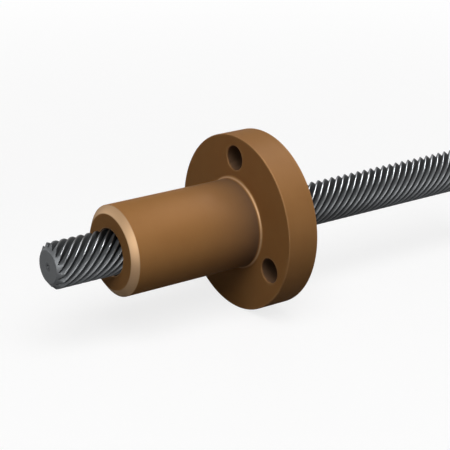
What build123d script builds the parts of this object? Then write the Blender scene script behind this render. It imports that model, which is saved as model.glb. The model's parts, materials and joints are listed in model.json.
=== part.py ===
from build123d import *
import math
import os

# Left-hand lead screw with many starts, run through its flanged bronze nut.
# X is the screw's axis, from the nut's nose towards its flange, and Z is up.
# The origin is on the axis, in the flange face that the barrel stands out of.

# Screw thread
screw_diameter = 10.0
thread_starts = 15
# From one crest to the next along the axis: the lead is this times the starts
thread_pitch = 2.0
thread_depth = 1.0
# Angle of the first crest at the front end, from +Y towards +Z
first_crest_angle = 5.5
# The twisted flanks are flat facets between rings of corners, this many rings to one turn
rings_per_turn = 18

# Screw length and ends
screw_length = 125.0
# How far the front end stands out of the nut's nose
screw_overhang = 14.9
end_chamfer_length = 1.1
# The end chamfers go this much deeper than the thread, so each end face is a whole disc
chamfer_below_root = 0.4
centre_mark_diameter = 0.9
centre_mark_angle = 60.0

# Nut barrel
barrel_diameter = 20.0
barrel_length = 32.5
nose_chamfer_length = 1.25
nose_chamfer_depth = 1.6
junction_fillet = 0.8

# Nut flange
flange_diameter = 40.0
flange_thickness = 7.7
bolt_circle_diameter = 30.0
bolt_hole_diameter = 5.5
bolt_hole_count = 3

# Nut bore
# Radial running clearance over the crests
bore_clearance = 0.06
# Countersink at both mouths of the bore
mouth_chamfer = 0.2

screw_radius = screw_diameter / 2
root_radius = screw_radius - thread_depth
end_face_radius = root_radius - chamfer_below_root
lead = thread_pitch * thread_starts
ring_spacing = lead / rings_per_turn
nose = -barrel_length
front_end = nose - screw_overhang
barrel_radius = barrel_diameter / 2
bore_radius = screw_radius + bore_clearance


def thread_ring(x):
    """Corners of the cross section at x: by turns a narrow crest and the bottom of a V groove."""
    turned = first_crest_angle - 360 * (x - front_end) / lead
    ring = []
    for corner in range(2 * thread_starts):
        radius = root_radius if corner % 2 else screw_radius
        angle = math.radians(turned + corner * 180 / thread_starts)
        ring.append(Vector(x, radius * math.cos(angle), radius * math.sin(angle)))
    return ring


def flank_facets(near, far):
    """Two flat triangles on each flank between neighbouring rings, cut along the shorter diagonal."""
    facets = []
    for i in range(len(near)):
        j = (i + 1) % len(near)
        facets.append(Face(Wire.make_polygon([near[i], near[j], far[j]])))
        facets.append(Face(Wire.make_polygon([near[i], far[j], far[i]])))
    return facets


def threaded_bar():
    """Rings set along the axis, each turned left-handed by its share of the lead, joined by facets."""
    steps = math.ceil(screw_length / ring_spacing)
    rings = [thread_ring(front_end + step * ring_spacing) for step in range(steps + 1)]
    facets = [Face(Wire.make_polygon(rings[0])), Face(Wire.make_polygon(rings[-1]))]
    for near, far in zip(rings, rings[1:]):
        facets += flank_facets(near, far)
    return Solid(Shell(facets))


def chamfered_blank():
    """Round bar a little over the crests, with the cone of the chamfer turned on each end."""
    over = screw_radius + thread_depth
    rise = screw_radius - end_face_radius
    cone_length = end_chamfer_length * (over - end_face_radius) / rise
    outline = Polyline(
        (0, 0),
        (0, end_face_radius),
        (cone_length, over),
        (screw_length - cone_length, over),
        (screw_length, end_face_radius),
        (screw_length, 0),
        close=True,
    )
    return Pos(front_end, 0, 0) * revolve(make_face(outline), Axis.X, 360)


def centre_mark(face_x, inward):
    """Small cone left by the centre drill, its tip inward from an end face."""
    radius = centre_mark_diameter / 2
    depth = radius / math.tan(math.radians(centre_mark_angle / 2))
    cone = Cone(radius, 0, depth, align=(Align.CENTER, Align.CENTER, Align.MIN))
    return Pos(face_x, 0, 0) * Rot(0, 90 * inward, 0) * cone


def make_lead_screw():
    """One turned and thread-rolled steel bar."""
    screw = threaded_bar() & chamfered_blank()
    screw -= centre_mark(front_end, 1)
    screw -= centre_mark(front_end + screw_length, -1)
    return screw


def nut_outline():
    """Half section of the nut, along X and outwards from the axis."""
    mouth_radius = bore_radius + mouth_chamfer
    return Curve() + [
        Polyline(
            (0, barrel_radius + junction_fillet),
            (0, flange_diameter / 2),
            (flange_thickness, flange_diameter / 2),
            (flange_thickness, mouth_radius),
            (flange_thickness - mouth_chamfer, bore_radius),
            (nose + mouth_chamfer, bore_radius),
            (nose, mouth_radius),
            (nose, barrel_radius - nose_chamfer_depth),
            (nose + nose_chamfer_length, barrel_radius),
            (-junction_fillet, barrel_radius),
        ),
        CenterArc((-junction_fillet, barrel_radius + junction_fillet), junction_fillet, 270, 90),
    ]


def bolt_holes():
    """Holes through the flange on one circle, the first at the top."""
    drill = Cylinder(bolt_hole_diameter / 2, flange_thickness, align=(Align.CENTER, Align.CENTER, Align.MIN))
    return Plane.YZ * PolarLocations(bolt_circle_diameter / 2, bolt_hole_count, start_angle=90) * drill


def make_flange_nut():
    """One turned bronze piece: barrel, flange and bore, drilled for its bolts."""
    nut = revolve(make_face(nut_outline()), Axis.X, 360)
    return nut - bolt_holes()


os.makedirs("parts", exist_ok=True)
export_step(make_lead_screw(), "parts/lead_screw.step")
export_step(make_flange_nut(), "parts/flange_nut.step")
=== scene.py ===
import json
import math

import bpy
import numpy as np
from mathutils import Matrix, Vector


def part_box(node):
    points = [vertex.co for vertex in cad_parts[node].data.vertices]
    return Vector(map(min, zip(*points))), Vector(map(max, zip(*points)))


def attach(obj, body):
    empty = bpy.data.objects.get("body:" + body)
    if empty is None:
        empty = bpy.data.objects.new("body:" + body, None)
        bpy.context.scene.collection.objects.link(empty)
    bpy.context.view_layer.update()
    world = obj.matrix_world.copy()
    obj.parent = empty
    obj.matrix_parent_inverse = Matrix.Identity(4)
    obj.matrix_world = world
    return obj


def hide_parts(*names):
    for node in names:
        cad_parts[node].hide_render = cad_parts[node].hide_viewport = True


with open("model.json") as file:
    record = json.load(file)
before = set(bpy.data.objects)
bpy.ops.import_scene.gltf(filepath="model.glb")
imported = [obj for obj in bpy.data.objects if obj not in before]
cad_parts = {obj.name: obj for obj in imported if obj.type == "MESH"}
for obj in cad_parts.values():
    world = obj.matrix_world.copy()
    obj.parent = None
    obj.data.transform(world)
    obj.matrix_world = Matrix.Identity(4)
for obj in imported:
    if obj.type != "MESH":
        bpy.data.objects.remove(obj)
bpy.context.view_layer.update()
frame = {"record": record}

# Left-hand lead screw with many starts, run through its flanged bronze nut.
# X is the screw's axis, from the nut's nose towards its flange, and Z is up.
# The origin is on the axis, in the flange face that the barrel stands out of.
# Every size is in metres, and angles round the axis go from +Y towards +Z.

MM = 0.001

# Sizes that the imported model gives
mounts = {mount["name"]: mount["dims"] for mount in frame["record"]["mounts"]}
nut_low, nut_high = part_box("flange_nut")
screw_low, screw_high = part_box("lead_screw")
NOSE_X = nut_low[0]
FLANGE_BACK_X = nut_high[0]
FLANGE_RADIUS = nut_high[2]
BARREL_RADIUS = mounts["barrel_pilot"]["r_mm"] * MM
BOLT_CIRCLE_RADIUS = mounts["flange_bolts"]["pcd_mm"] / 2 * MM
BOLT_HOLE_RADIUS = mounts["flange_bolts"]["hole_r_mm"] * MM
FRONT_END_X = screw_low[0]
REAR_END_X = screw_high[0]

# Thread
SCREW_RADIUS = 5.0 * MM
THREAD_STARTS = 15
THREAD_PITCH = 2.0 * MM
THREAD_DEPTH = 1.0 * MM
LEAD = THREAD_PITCH * THREAD_STARTS
FIRST_CREST_ANGLE = math.radians(5.5)
# Shares of one pitch taken up by the rounded crest and by the rounded root
CREST_SHARE = 0.10
ROOT_SHARE = 0.04
# How much of a flank's rise is eased in and out, where the rest is straight
EASED_SHARE = 0.4

# Screw ends
END_CHAMFER_LENGTH = 1.1 * MM
END_FACE_RADIUS = 3.6 * MM
CENTRE_MARK_RADIUS = 0.45 * MM
CENTRE_MARK_DEPTH = 0.78 * MM

# Shine of the screw's turned ends, on the scale that goes from 0 in a root to 1 on a crest
END_CHAMFER_SHINE = 0.92
END_FACE_SHINE = 0.96
CENTRE_MARK_SHINE = 0.5

# Painted shade on the screw, from 0 to 1, over each trailing flank. Behind the nut it fills the grooves as
# well: it grows over a reach along the screw, up to a top share of the thread's height, and fades out over a
# fade share of it
SHADE_REACH = 20.0 * MM
SHADE_TOP = 0.8
SHADE_FADE = 0.5
# Painted shade at the rim of the centre mark
CENTRE_MARK_SHADE = 0.3

# Nut
NOSE_CHAMFER_LENGTH = 1.25 * MM
NOSE_CHAMFER_DEPTH = 1.6 * MM
JUNCTION_FILLET = 0.8 * MM
BORE_RADIUS = 5.06 * MM
MOUTH_CHAMFER = 0.2 * MM
# Small break that the lathe leaves on each outer edge
EDGE_BREAK = 0.12 * MM
# Degrees at which the bolt holes stand
BOLT_HOLE_PLACES = (90, 210, 330)

# Marks on the nut: above 0 they are wear and painted highlight, up to 1, and below 0 painted shade, down to
# -1
BARE = 0.0
RUBBED = 1.0
HALF_RUBBED = 0.5
# Full painted shade, on the walls of the bore and of the bolt holes
SHADED = -1.0
# Painted highlight over the nose chamfer
CHAMFER_HIGHLIGHT = 0.9
CHAMFER_EDGE_WEAR = 0.4
# Painted highlight along the middle of the fillet
FILLET_HIGHLIGHT = 0.85
RIM_EDGE_WEAR = 0.12
RIM_FACE_WEAR = 0.10
# Darker over the rim between its edges
RIM_DARKENING = -0.15
HOLE_EDGE_WEAR = 0.15
# Painted shade at a bolt hole's front mouth
HOLE_EDGE_SHADE = -0.6
# Painted shade at the corner of barrel and flange: how dark it gets, and how far it reaches along the barrel
CORNER_SHADE = 0.92
CORNER_REACH = 20.0 * MM

# Degrees in a turn. The nut has a column to each, so that barrel, rim and panels meet
FULL_TURN = 360

# How finely the surfaces are divided
# Places of the columns from a crest to the middle of the root, in shares of a pitch
COLUMN_SHARES = np.array([0.05, 0.08, 0.13, 0.25, 0.38, 0.46])
THREAD_ROWS = 420
END_CHAMFER_ROWS = 20
FILM_ROWS = 16
FILLET_STEPS = 12
# Degrees to each side of a bolt hole that its panel of the flange takes up
PANEL_HALF = 22
PANEL_EDGE_ROWS = 24
PANEL_STEPS = 6
# Points nearer to each other than this are joined
JOIN_DISTANCE = 0.0001 * MM

# Camera on the photograph's line of sight, with the focal length in pixels of its frame
IMAGE_SIDE = 450
FOCAL_PIXELS = 1492.0
SENSOR_WIDTH = 36.0
CAMERA_PLACE = (-184.7 * MM, -254.0 * MM, 110.7 * MM)
CAMERA_RIGHT = (0.81265, -0.58274, 0.0)
CAMERA_FORWARD = (0.54926, 0.7659, -0.3341)


def ring_points(x, radius, angle):
    """Points from a place along the axis, a distance from it and an angle round it."""
    x, radius, angle = np.broadcast_arrays(x, radius, angle)
    return np.stack([x, radius * np.cos(angle), radius * np.sin(angle)], axis=-1)


class Surface:
    """Collects grids of points into one mesh, with two values at each point.

    The first is how far the place is rubbed bright or carries a painted highlight, and the second how far it
    is painted with shade.
    """

    def __init__(self):
        self.points = []
        self.faces = []
        self.wear_and_highlight = []
        self.painted_shade = []
        self.count = 0

    def grid(self, points, wear_and_highlight=0.0, painted_shade=0.0, closed=True):
        """A grid of rows by columns. Closed joins the last column to the first."""
        rows, columns = points.shape[:2]
        index = np.arange(rows * columns).reshape(rows, columns) + self.count
        if closed:
            index = np.concatenate([index, index[:, :1]], axis=1)
        corners = (index[:-1, :-1], index[:-1, 1:], index[1:, 1:], index[1:, :-1])
        self.faces.append(np.stack(corners, axis=-1).reshape(-1, 4))
        self.points.append(points.reshape(-1, 3))
        self.wear_and_highlight.append(np.broadcast_to(np.asarray(wear_and_highlight, float), (rows, columns)).reshape(-1))
        self.painted_shade.append(np.broadcast_to(np.asarray(painted_shade, float), (rows, columns)).reshape(-1))
        self.count += rows * columns

    def build(self, name, sharp_angle):
        """Joins the grids where they touch and shades them smooth up to sharp_angle.

        A corner that is the same point as the one before it is dropped, so at a pole
        a face has three corners.
        """
        points = np.concatenate(self.points)
        keys = np.round(points / JOIN_DISTANCE).astype(np.int64)
        _, first, joined = np.unique(keys, axis=0, return_index=True, return_inverse=True)
        faces = joined.reshape(-1)[np.concatenate(self.faces)]
        own = faces != np.roll(faces, 1, axis=1)
        corners = own.sum(axis=1)
        three = corners == 3
        quads = faces[corners == 4]
        triangles = faces[three][own[three]].reshape(-1, 3)
        shape = bpy.data.meshes.new(name)
        shape.from_pydata(points[first].tolist(), [], quads.tolist() + triangles.tolist())
        for mark, values in (("wear_and_highlight", self.wear_and_highlight), ("painted_shade", self.painted_shade)):
            layer = shape.attributes.new(mark, "FLOAT", "POINT")
            layer.data.foreach_set("value", np.concatenate(values)[first].astype(np.float32))
        shape.polygons.foreach_set("use_smooth", np.ones(len(shape.polygons), bool))
        shape.set_sharp_from_angle(angle=math.radians(sharp_angle))
        shape.update()
        piece = bpy.data.objects.new(name, shape)
        bpy.context.scene.collection.objects.link(piece)
        return piece


def thread_height(share):
    """Height of the thread, 0 at the root and 1 at the crest, at a share of the pitch from a crest.

    A trapezoid wave: level over the crest and the root, and between them a straight
    ramp mixed with a smooth step, which eases it in and out.
    """
    away = np.abs((share + 0.5) % 1.0 - 0.5)
    root = 0.5 - ROOT_SHARE / 2
    crest = CREST_SHARE / 2
    ramp = np.clip((root - away) / (root - crest), 0, 1)
    eased = ramp * ramp * (3 - 2 * ramp)
    return (1 - EASED_SHARE) * ramp + EASED_SHARE * eased


def screw_rows():
    """Places of the rows along the screw: close together in both end chamfers, even between them."""
    front = FRONT_END_X + END_CHAMFER_LENGTH
    rear = REAR_END_X - END_CHAMFER_LENGTH
    return np.concatenate([
        np.linspace(FRONT_END_X, front, END_CHAMFER_ROWS, endpoint=False),
        np.linspace(front, rear, THREAD_ROWS),
        np.linspace(REAR_END_X, rear, END_CHAMFER_ROWS, endpoint=False)[::-1],
    ])


def thread_shade(x, share, height):
    """Painted shade on the thread: all over each trailing flank, and in the grooves behind the nut.

    The trailing flank is the half of a pitch that follows the crest. Its shade rises over the crest's
    rounding and ends just past the root. The shade in the grooves grows along the screw from the flange's
    face and thins out with the thread's height.
    """
    past_crest = np.clip(share / (CREST_SHARE / 2), 0, 1)
    before_root = np.clip((0.5 + ROOT_SHARE - share) / ROOT_SHARE, 0, 1)
    rearward = np.clip(x / SHADE_REACH, 0, 1)
    groove = np.clip((SHADE_TOP - height) / SHADE_FADE, 0, 1)
    return np.maximum(past_crest * before_root, rearward * groove)


def screw_shape():
    """The threaded bar: columns run along the helices and rows stand across the axis.

    A point's angle is that of its start and its share of the pitch, less one turn for
    each lead along the axis. Its radius is the thread's height over the root, and
    in the end chamfers no more than the cone's. Each end face goes in to a small cone.
    """
    shares = np.concatenate([[0], COLUMN_SHARES, [0.5], 1 - COLUMN_SHARES[::-1]])
    column_share = (np.arange(THREAD_STARTS)[:, None] + shares).reshape(1, -1)
    share = column_share % 1.0
    height = thread_height(share)
    x = screw_rows()[:, None]
    angle = FIRST_CREST_ANGLE + 2 * math.pi * (column_share / THREAD_STARTS - (x - FRONT_END_X) / LEAD)
    from_end = np.minimum(x - FRONT_END_X, REAR_END_X - x)
    cone = END_FACE_RADIUS + from_end * (SCREW_RADIUS - END_FACE_RADIUS) / END_CHAMFER_LENGTH
    radius = np.minimum(SCREW_RADIUS - THREAD_DEPTH * (1 - height), cone)
    on_thread = radius < cone
    wear_and_highlight = np.where(on_thread, height, END_CHAMFER_SHINE)
    # Painted shade on the trailing flanks and in the grooves behind the nut
    painted_shade = np.where(on_thread, thread_shade(x, share, height), 0.0)
    surface = Surface()
    surface.grid(ring_points(x, radius, angle), wear_and_highlight, painted_shade)

    # Rings of an end face, from its edge to the tip of the centre mark: radius, depth, shine and painted
    # shade
    rings = [(part * END_FACE_RADIUS, 0.0, END_FACE_SHINE, 0.0) for part in (1.0, 0.97, 0.6, 0.3)]
    # The centre mark is painted with shade, darkest at its tip
    rings.append((CENTRE_MARK_RADIUS, 0.0, CENTRE_MARK_SHINE, CENTRE_MARK_SHADE))
    rings.append((0.0, CENTRE_MARK_DEPTH, 0.0, 1.0))
    radius, depth, shine, mark_shade = (np.array(values)[:, None] for values in zip(*rings))
    front = ring_points(FRONT_END_X + depth, radius, angle[:1])
    rear = ring_points(REAR_END_X - depth, radius, angle[-1:])
    surface.grid(front[::-1], shine[::-1], mark_shade[::-1])
    surface.grid(rear, shine, mark_shade)
    return surface.build("threaded_screw", 40)


def marked_grid(surface, points, mark):
    """A closed grid whose marks above 0 are wear and painted highlight and whose marks below 0 are painted
    shade.
    """
    surface.grid(points, np.clip(mark, 0, 1), np.clip(-mark, 0, 1))


def turned_grid(surface, outline):
    """Turns an outline of (x, radius, mark) round the axis, one column to a degree."""
    x, radius, mark = (np.array(values)[:, None] for values in zip(*outline))
    angle = np.radians(np.arange(FULL_TURN))[None, :]
    marked_grid(surface, ring_points(x, radius, angle), mark)


def corner_outline(centre_radius):
    """The barrel's last stretch in the half section, and the quarter round out to the flange's face.

    Along the barrel the painted shade deepens with the square of the way gone. In the quarter round, whose
    angle goes from -90 to 0 degrees, it fades with the eighth power of the angle's sine. The painted
    highlight, a pale line half way round, is the sixth power of the sine of twice the angle.
    """
    way = np.linspace(0, 1, FILM_ROWS + 1)[1:]
    along = -JUNCTION_FILLET - CORNER_REACH * (1 - way)
    turn = np.radians(np.linspace(-90, 0, FILLET_STEPS + 1))
    x = JUNCTION_FILLET * (np.cos(turn) - 1)
    radius = centre_radius + JUNCTION_FILLET * np.sin(turn)
    # Painted shade deepening into the corner, and the fillet's painted highlight
    mark = FILLET_HIGHLIGHT * np.abs(np.sin(2 * turn)) ** 6 - CORNER_SHADE * np.sin(turn) ** 8
    barrel = [(place, BARREL_RADIUS, barrel_shade) for place, barrel_shade in zip(along, -CORNER_SHADE * way ** 2)]
    return barrel + list(zip(x, radius, mark))


def panel_border(inner, outer, centre):
    """Radius and angle of the points round a hole's panel: out along one side, back along the other."""
    half = PANEL_HALF
    across = np.arange(-half, half + 1)
    rise = np.linspace(inner, outer, PANEL_EDGE_ROWS + 1)
    sides = [
        (np.full(2 * half, outer), across[:-1]),
        (rise[::-1][:-1], np.full(PANEL_EDGE_ROWS, half)),
        (np.full(2 * half, inner), across[::-1][:-1]),
        (rise[:-1], np.full(PANEL_EDGE_ROWS, -half)),
    ]
    radius = np.concatenate([side[0] for side in sides])
    angle = np.radians(centre + np.concatenate([side[1] for side in sides]))
    return radius, angle


def hole_and_panels(surface, centre, inner, outer):
    """One bolt hole through the flange, with the panel round it on both faces.

    Rows go from the panel's border to the hole by straight mixing of the two, then
    over the broken edge and along the hole's wall, and out again on the other face.
    The wall is painted with shade, which is lighter at the mouth in the front face.
    """
    radius, angle = panel_border(inner, outer, centre)
    border = np.stack([radius * np.cos(angle), radius * np.sin(angle)], axis=-1)
    turn = math.radians(centre)
    middle = BOLT_CIRCLE_RADIUS * np.array([math.cos(turn), math.sin(turn)])
    toward = border - middle
    heading = np.arctan2(toward[:, 1], toward[:, 0])
    ray = np.stack([np.cos(heading), np.sin(heading)], axis=-1)
    mouth = middle + (BOLT_HOLE_RADIUS + EDGE_BREAK) * ray
    wall = middle + BOLT_HOLE_RADIUS * ray
    mixes = np.linspace(0, 1, PANEL_STEPS + 1)
    panel = [(border + (mouth - border) * mix, HOLE_EDGE_WEAR if mix == 1 else BARE) for mix in mixes]
    # Painted shade down the hole's wall, lighter at the front mouth
    depths = [
        (EDGE_BREAK, HOLE_EDGE_SHADE),
        (4 * EDGE_BREAK, SHADED),
        (FLANGE_BACK_X - 4 * EDGE_BREAK, SHADED),
        (FLANGE_BACK_X - EDGE_BREAK, SHADED),
    ]
    rows = [(0.0, ring, mark) for ring, mark in panel]
    rows += [(depth, wall, mark) for depth, mark in depths]
    rows += [(FLANGE_BACK_X, ring, mark) for ring, mark in panel[::-1]]
    points = np.stack([np.insert(ring, 0, x, axis=1) for x, ring, _ in rows])
    mark = np.array([mark for _, _, mark in rows])[:, None]
    marked_grid(surface, points[::-1], mark[::-1])


def flange_sectors(surface, inner, outer):
    """Plain stretches of both flange faces between the panels round the holes."""
    radius = np.linspace(inner, outer, PANEL_EDGE_ROWS + 1)[:, None]
    gap = FULL_TURN // len(BOLT_HOLE_PLACES)
    for centre in BOLT_HOLE_PLACES:
        angle = np.radians(np.arange(centre + PANEL_HALF, centre + gap - PANEL_HALF + 1))[None, :]
        front = ring_points(0.0, radius, angle)
        back = ring_points(FLANGE_BACK_X, radius, angle)
        surface.grid(front, closed=False)
        surface.grid(back[::-1], closed=False)


def nut_shape():
    """The flanged nut: turned outlines for barrel, bore and rim, and panels with the bolt holes."""
    inner = BARREL_RADIUS + JUNCTION_FILLET
    outer = FLANGE_RADIUS - EDGE_BREAK
    mouth_radius = BORE_RADIUS + MOUTH_CHAMFER
    nose_face_radius = BARREL_RADIUS - NOSE_CHAMFER_DEPTH
    chamfer_end_x = NOSE_X + NOSE_CHAMFER_LENGTH
    barrel = [
        (FLANGE_BACK_X, inner, BARE),
        (FLANGE_BACK_X, mouth_radius + 2 * EDGE_BREAK, BARE),
        (FLANGE_BACK_X, mouth_radius + EDGE_BREAK / 4, HALF_RUBBED),
        (FLANGE_BACK_X - EDGE_BREAK / 4, mouth_radius - EDGE_BREAK / 4, RUBBED),
        # The bore's wall is painted with shade
        (FLANGE_BACK_X - MOUTH_CHAMFER, BORE_RADIUS, SHADED),
        (NOSE_X + MOUTH_CHAMFER, BORE_RADIUS, SHADED),
        (NOSE_X + EDGE_BREAK / 4, mouth_radius - EDGE_BREAK / 4, RUBBED),
        (NOSE_X, mouth_radius + EDGE_BREAK / 4, HALF_RUBBED),
        (NOSE_X, mouth_radius + 2 * EDGE_BREAK, BARE),
        (NOSE_X, nose_face_radius - 2 * EDGE_BREAK, BARE),
        (NOSE_X, nose_face_radius - EDGE_BREAK / 2, HALF_RUBBED),
        (NOSE_X + EDGE_BREAK / 2, nose_face_radius + EDGE_BREAK / 2, RUBBED),
        # The nose chamfer carries a painted highlight
        (chamfer_end_x - EDGE_BREAK, BARREL_RADIUS - 1.3 * EDGE_BREAK, CHAMFER_HIGHLIGHT),
        (chamfer_end_x, BARREL_RADIUS - EDGE_BREAK / 8, CHAMFER_EDGE_WEAR),
        (chamfer_end_x + EDGE_BREAK / 2, BARREL_RADIUS, BARE),
        (-JUNCTION_FILLET - CORNER_REACH, BARREL_RADIUS, BARE),
    ]
    rim = [
        (0.0, outer, RIM_FACE_WEAR),
        (EDGE_BREAK, FLANGE_RADIUS, RIM_EDGE_WEAR),
        # The rim is a little darker between its edges
        (3 * EDGE_BREAK, FLANGE_RADIUS, RIM_DARKENING),
        (FLANGE_BACK_X - 3 * EDGE_BREAK, FLANGE_RADIUS, RIM_DARKENING),
        (FLANGE_BACK_X - EDGE_BREAK, FLANGE_RADIUS, RIM_EDGE_WEAR),
        (FLANGE_BACK_X, outer, RIM_FACE_WEAR),
    ]
    surface = Surface()
    turned_grid(surface, barrel + corner_outline(inner))
    turned_grid(surface, rim)
    for centre in BOLT_HOLE_PLACES:
        hole_and_panels(surface, centre, inner, outer)
    flange_sectors(surface, inner, outer)
    return surface.build("flanged_nut", 28)


class Value:
    """A number socket of a node tree, with the arithmetic that makes Math nodes."""

    def __init__(self, nodes, socket):
        self.nodes = nodes
        self.socket = socket

    def maths(self, operation, *values):
        node = self.nodes.node("ShaderNodeMath", {"operation": operation}, dict(enumerate(values)))
        return Value(self.nodes, node.outputs[0])

    def __add__(self, other):
        return self.maths("ADD", self, other)

    def __radd__(self, other):
        return self.maths("ADD", other, self)

    def __sub__(self, other):
        return self.maths("SUBTRACT", self, other)

    def __rsub__(self, other):
        return self.maths("SUBTRACT", other, self)

    def __mul__(self, other):
        return self.maths("MULTIPLY", self, other)

    def __rmul__(self, other):
        return self.maths("MULTIPLY", other, self)

    def __truediv__(self, other):
        return self.maths("DIVIDE", self, other)

    def __rtruediv__(self, other):
        return self.maths("DIVIDE", other, self)

    def __pow__(self, other):
        return self.maths("POWER", self, other)

    def __rpow__(self, other):
        return self.maths("POWER", other, self)

    def clamped(self):
        return self.maths("MAXIMUM", self.maths("MINIMUM", self, 1.0), 0.0)


class NodeTree:
    """The nodes of a new material or world, added one call at a time."""

    def __init__(self, owner):
        owner.use_nodes = True
        self.owner = owner
        self.tree = owner.node_tree
        self.tree.nodes.clear()

    def node(self, kind, settings=None, inputs=None):
        """One node: its settings first, then a value, Value or socket for each input named."""
        node = self.tree.nodes.new(kind)
        for key, value in (settings or {}).items():
            setattr(node, key, value)
        for key, value in (inputs or {}).items():
            if isinstance(value, Value):
                value = value.socket
            if isinstance(value, bpy.types.NodeSocket):
                self.tree.links.new(value, node.inputs[key])
            else:
                node.inputs[key].default_value = value
        return node

    def noise(self, vector, scale, detail, roughness, dimensions="3D"):
        """Smooth random value between 0 and 1, with its scale in waves to the metre."""
        where = {"W": vector} if dimensions == "1D" else {"Vector": vector}
        node = self.node("ShaderNodeTexNoise", {"noise_dimensions": dimensions},
                         {**where, "Scale": scale, "Detail": detail, "Roughness": roughness})
        return Value(self, node.outputs[0])

    def mixed(self, share, first, second):
        """Colour between first and second by a share from 0 to 1."""
        node = self.node("ShaderNodeMix", {"data_type": "RGBA"}, {0: share, 6: first, 7: second})
        return node.outputs[2]

    def place(self):
        """Object coordinates as a vector socket, and from them x and the distance from the axis."""
        place = self.node("ShaderNodeTexCoord").outputs["Object"]
        parts = self.node("ShaderNodeSeparateXYZ", None, {0: place}).outputs
        x, y, z = (Value(self, part) for part in parts)
        return place, x, (y * y + z * z) ** 0.5

    def mark(self, name):
        """A value that the mesh carries at its points."""
        return Value(self, self.node("ShaderNodeAttribute", {"attribute_name": name}).outputs["Fac"])

    def rays(self):
        """The kinds of ray that look at a surface: camera, glossy and transmission, each 0 or 1."""
        outputs = self.node("ShaderNodeLightPath").outputs
        names = ("Is Camera Ray", "Is Glossy Ray", "Is Transmission Ray")
        return [Value(self, outputs[name]) for name in names]

    def shader(self, kind, inputs):
        """The output of one shader node."""
        return self.node(kind, None, inputs).outputs[0]

    def metal(self, colour, roughness, metallic, height, strength, depth, specular=0.5):
        """One metal shader, with a bump of the given height, set as the material's surface."""
        bump = self.node("ShaderNodeBump", None, {"Strength": strength, "Distance": depth, "Height": height})
        surface = self.shader("ShaderNodeBsdfPrincipled", {
            "Base Color": colour,
            "Roughness": roughness,
            "Metallic": metallic,
            "Specular IOR Level": specular,
            "Normal": bump.outputs[0],
        })
        self.node("ShaderNodeOutputMaterial", None, {"Surface": surface})
        return self.owner


def turned_bronze():
    """Bronze off the lathe: faint feed rings, soft blotches of tone, rubbed edges with a painted highlight
    on the nose chamfer and fillet, and painted shade in the bore, the holes and the corner.
    """
    dark_bronze = (0.285, 0.130, 0.040, 1)
    light_bronze = (0.370, 0.180, 0.062, 1)
    # Colour of rubbed edges and of the painted highlight on nose chamfer and fillet
    rubbed_and_highlight_bronze = (0.68, 0.46, 0.275, 1)
    # Colour of the painted shade in bore, holes and corner, and of the rim's darker band
    bronze_shade = (0.088, 0.058, 0.042, 1)
    nodes = NodeTree(bpy.data.materials.new("turned_bronze"))
    place, x, radius = nodes.place()
    rings = nodes.noise(x + radius, scale=5200.0, detail=2.0, roughness=0.6, dimensions="1D")
    blotches = nodes.noise(place, scale=140.0, detail=3.0, roughness=0.55)
    grain = nodes.noise(place, scale=2600.0, detail=2.0, roughness=0.5)
    tone = (blotches * 0.6 + rings * 0.3 + grain * 0.1).clamped()
    wear_and_highlight = nodes.mark("wear_and_highlight")
    bright = nodes.mixed(wear_and_highlight * 0.75, nodes.mixed(tone, dark_bronze, light_bronze), rubbed_and_highlight_bronze)
    return nodes.metal(
        # Painted shade laid over the colour where the shade mark lies
        colour=nodes.mixed(nodes.mark("painted_shade") * 0.8, bright, bronze_shade),
        roughness=0.42 + blotches * 0.08 + grain * 0.05,
        metallic=0.02 + wear_and_highlight * 0.5,
        height=rings * 0.7 + grain * 0.3,
        strength=0.18,
        depth=0.02 * MM,
        specular=0.02,
    )


def rolled_steel():
    """Thread-rolled steel: lighter crests, burnished and partly a painted highlight, grey leading flanks,
    and painted shade on the trailing flanks and in the roots.

    The wear-and-highlight mark is the thread's height. Its ninth power is left on the crest alone, and the
    grey of a flank is full from a third of the height up, less the painted shade.
    """
    # Colours of the painted shade on trailing flanks, in roots, in the grooves behind the nut and in the
    # centre mark
    light_steel_shade = (0.034, 0.035, 0.036, 1)
    deep_steel_shade = (0.016, 0.017, 0.018, 1)
    dark_steel = (0.104, 0.109, 0.113, 1)
    grey_steel = (0.142, 0.148, 0.153, 1)
    # Lighter crests: burnished, and partly a painted highlight
    dark_burnish_and_highlight = (0.180, 0.187, 0.194, 1)
    light_burnish_and_highlight = (0.250, 0.258, 0.266, 1)
    nodes = NodeTree(bpy.data.materials.new("rolled_steel"))
    place, x, radius = nodes.place()
    height = nodes.mark("wear_and_highlight")
    rings = nodes.noise(x + radius, scale=4200.0, detail=2.0, roughness=0.6, dimensions="1D")
    blotches = nodes.noise(place, scale=260.0, detail=3.0, roughness=0.55)
    grain = nodes.noise(place, scale=3800.0, detail=2.0, roughness=0.5)
    # The crest's lighter colour, partly burnish and partly a painted highlight
    crest = height ** 9.0
    # The flanks' grey gives way to painted shade in the roots and where the shade mark lies
    flank = (height * 3.2).clamped() * (1.0 - 0.9 * nodes.mark("painted_shade"))
    steel_shade = nodes.mixed(blotches, deep_steel_shade, light_steel_shade)
    rolled = nodes.mixed(grain, dark_steel, grey_steel)
    burnish_and_highlight = nodes.mixed(grain, dark_burnish_and_highlight, light_burnish_and_highlight)
    return nodes.metal(
        colour=nodes.mixed(crest, nodes.mixed(flank, steel_shade, rolled), burnish_and_highlight),
        roughness=0.62 - crest * 0.27 + grain * 0.08,
        metallic=1.0,
        height=rings * 0.4 + grain * 0.6,
        strength=0.15,
        depth=0.02 * MM,
    )


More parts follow.
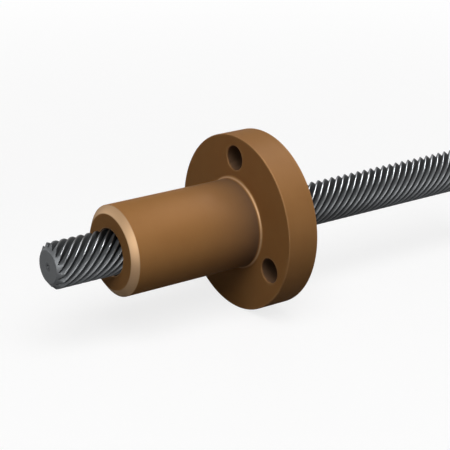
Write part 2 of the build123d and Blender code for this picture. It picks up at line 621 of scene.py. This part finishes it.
def studio_floor():
    """Plain floor under the flange's rim: white to the eye, with the object's shadow.

    Its light on the object is that of a grey floor, so that the undersides stay deep.
    Metal sees a share of the pale floor over the grey one. The share of plain white in
    the pale floor grows with the distance from the object, where no shadow falls.
    """
    half_side = 3.0
    glossy_share = 0.2
    white_share_near = 0.80
    shadow_end = 0.10
    white_growth = 0.30
    shape = bpy.data.meshes.new("studio_floor")
    quarters = [(-1, -1), (1, -1), (1, 1), (-1, 1)]
    corners = [(x * half_side, y * half_side, -FLANGE_RADIUS) for x, y in quarters]
    shape.from_pydata(corners, [], [(0, 1, 2, 3)])
    floor = bpy.data.objects.new("studio_floor", shape)
    bpy.context.scene.collection.objects.link(floor)

    nodes = NodeTree(bpy.data.materials.new("pale_floor"))
    place = nodes.node("ShaderNodeTexCoord").outputs["Object"]
    length = nodes.node("ShaderNodeVectorMath", {"operation": "LENGTH"}, {0: place})
    away = Value(nodes, length.outputs["Value"])
    camera, glossy, transmission = nodes.rays()
    seen = (camera + glossy_share * glossy + transmission).clamped()
    near = white_share_near * camera
    plain = near + (1.0 - near) * ((away - shadow_end) / white_growth).clamped()
    grey = nodes.shader("ShaderNodeBsdfDiffuse", {"Color": (0.15, 0.15, 0.15, 1)})
    shaded = nodes.shader("ShaderNodeBsdfDiffuse", {"Color": (0.95, 0.95, 0.95, 1)})
    white = nodes.shader("ShaderNodeEmission", {"Color": (1, 1, 1, 1), "Strength": 1.0})
    pale = nodes.shader("ShaderNodeMixShader", {0: plain, 1: shaded, 2: white})
    both = nodes.shader("ShaderNodeMixShader", {0: seen, 1: grey, 2: pale})
    nodes.node("ShaderNodeOutputMaterial", None, {"Surface": both})
    shape.materials.append(nodes.owner)


def studio_world():
    """Soft even light from all round, and a white backdrop for the camera and glass.

    Metal sees a dimmed backdrop, which darkens further overhead, where the studio has
    no backdrop but its ceiling.
    """
    light_strength = 0.09
    backdrop_in_metal = 0.42
    ceiling_in_metal = 0.05
    world = bpy.data.worlds.new("studio_world")
    bpy.context.scene.world = world
    nodes = NodeTree(world)
    heading = nodes.node("ShaderNodeTexCoord").outputs["Generated"]
    ceiling = (0.0, 0.35, 1.0)
    overhead = nodes.node("ShaderNodeVectorMath", {"operation": "DOT_PRODUCT"}, {0: heading, 1: ceiling})
    dimmed = nodes.node("ShaderNodeMapRange", {"interpolation_type": "SMOOTHSTEP"}, {
        "Value": overhead.outputs["Value"],
        "From Min": 0.40,
        "From Max": 0.95,
        "To Min": backdrop_in_metal,
        "To Max": ceiling_in_metal,
    })
    camera, glossy, transmission = nodes.rays()
    through = camera.maths("MAXIMUM", camera, transmission)
    white = (1, 1, 1, 1)
    light = nodes.shader("ShaderNodeBackground", {"Color": white, "Strength": light_strength})
    mirrored = nodes.shader("ShaderNodeBackground", {"Color": white, "Strength": dimmed.outputs[0]})
    backdrop = nodes.shader("ShaderNodeBackground", {"Color": white, "Strength": 1.0})
    on_object = nodes.shader("ShaderNodeMixShader", {0: glossy, 1: light, 2: mirrored})
    seen = nodes.shader("ShaderNodeMixShader", {0: through, 1: on_object, 2: backdrop})
    nodes.node("ShaderNodeOutputWorld", None, {"Surface": seen})


def soft_light(name, heading, distance, size, power, diffuse=True, glossy=True):
    """Rectangular soft light on a line from the nut, aimed back at it."""
    data = bpy.data.lights.new(name, "AREA")
    data.shape = "RECTANGLE"
    data.size, data.size_y = size
    data.energy = power
    lamp = bpy.data.objects.new(name, data)
    bpy.context.scene.collection.objects.link(lamp)
    heading = np.array(heading) / np.linalg.norm(heading)
    lamp.location = heading * distance
    lamp.rotation_mode = "QUATERNION"
    lamp.rotation_quaternion = Vector(heading).to_track_quat("Z", "Y")
    lamp.visible_camera = False
    lamp.visible_diffuse = diffuse
    lamp.visible_glossy = glossy


def studio_lights():
    """Two lamps that light the colours, and four cards that only show as gloss."""
    soft_light("key_light", (-0.20, -0.47, 0.86), 0.7, (0.60, 0.60), 5.1, glossy=False)
    soft_light("rear_light", (0.50, 0.85, 0.10), 0.9, (0.50, 0.30), 2.4, glossy=False)
    # The thread's flanks
    soft_light("front_card", (-0.42, -0.34, 0.88), 0.8, (0.35, 0.35), 3.0, diffuse=False)
    # The pale band of the nose chamfer
    soft_light("tall_card", (-0.87, -0.36, 0.28), 0.8, (0.20, 0.50), 3.6, diffuse=False)
    # The screw's end face
    soft_light("side_card", (-0.60, 0.78, 0.12), 0.8, (0.35, 0.20), 1.2, diffuse=False)
    # The bright lines along the crests
    soft_light("crest_strip", (0.55, -0.10, 0.75), 0.7, (0.80, 0.07), 9.0, diffuse=False)


def studio_camera():
    """Camera on the photograph's line of sight, with its length of lens."""
    data = bpy.data.cameras.new("camera")
    data.sensor_width = SENSOR_WIDTH
    data.lens = SENSOR_WIDTH * FOCAL_PIXELS / IMAGE_SIDE
    data.clip_start = 0.01
    data.clip_end = 20.0
    camera = bpy.data.objects.new("camera", data)
    bpy.context.scene.collection.objects.link(camera)
    right = np.array(CAMERA_RIGHT)
    forward = np.array(CAMERA_FORWARD) / np.linalg.norm(CAMERA_FORWARD)
    up = np.cross(right, forward)
    turn = Matrix(np.stack([right, up, -forward], axis=1).tolist())
    camera.matrix_world = Matrix.Translation(CAMERA_PLACE) @ turn.to_4x4()
    bpy.context.scene.camera = camera


screw = screw_shape()
screw.data.materials.append(rolled_steel())
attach(screw, "screw")
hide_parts("lead_screw")

nut = nut_shape()
nut.data.materials.append(turned_bronze())
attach(nut, "nut")
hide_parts("flange_nut")

studio_floor()
studio_world()
studio_lights()
studio_camera()
bpy.context.scene.view_settings.view_transform = "Standard"
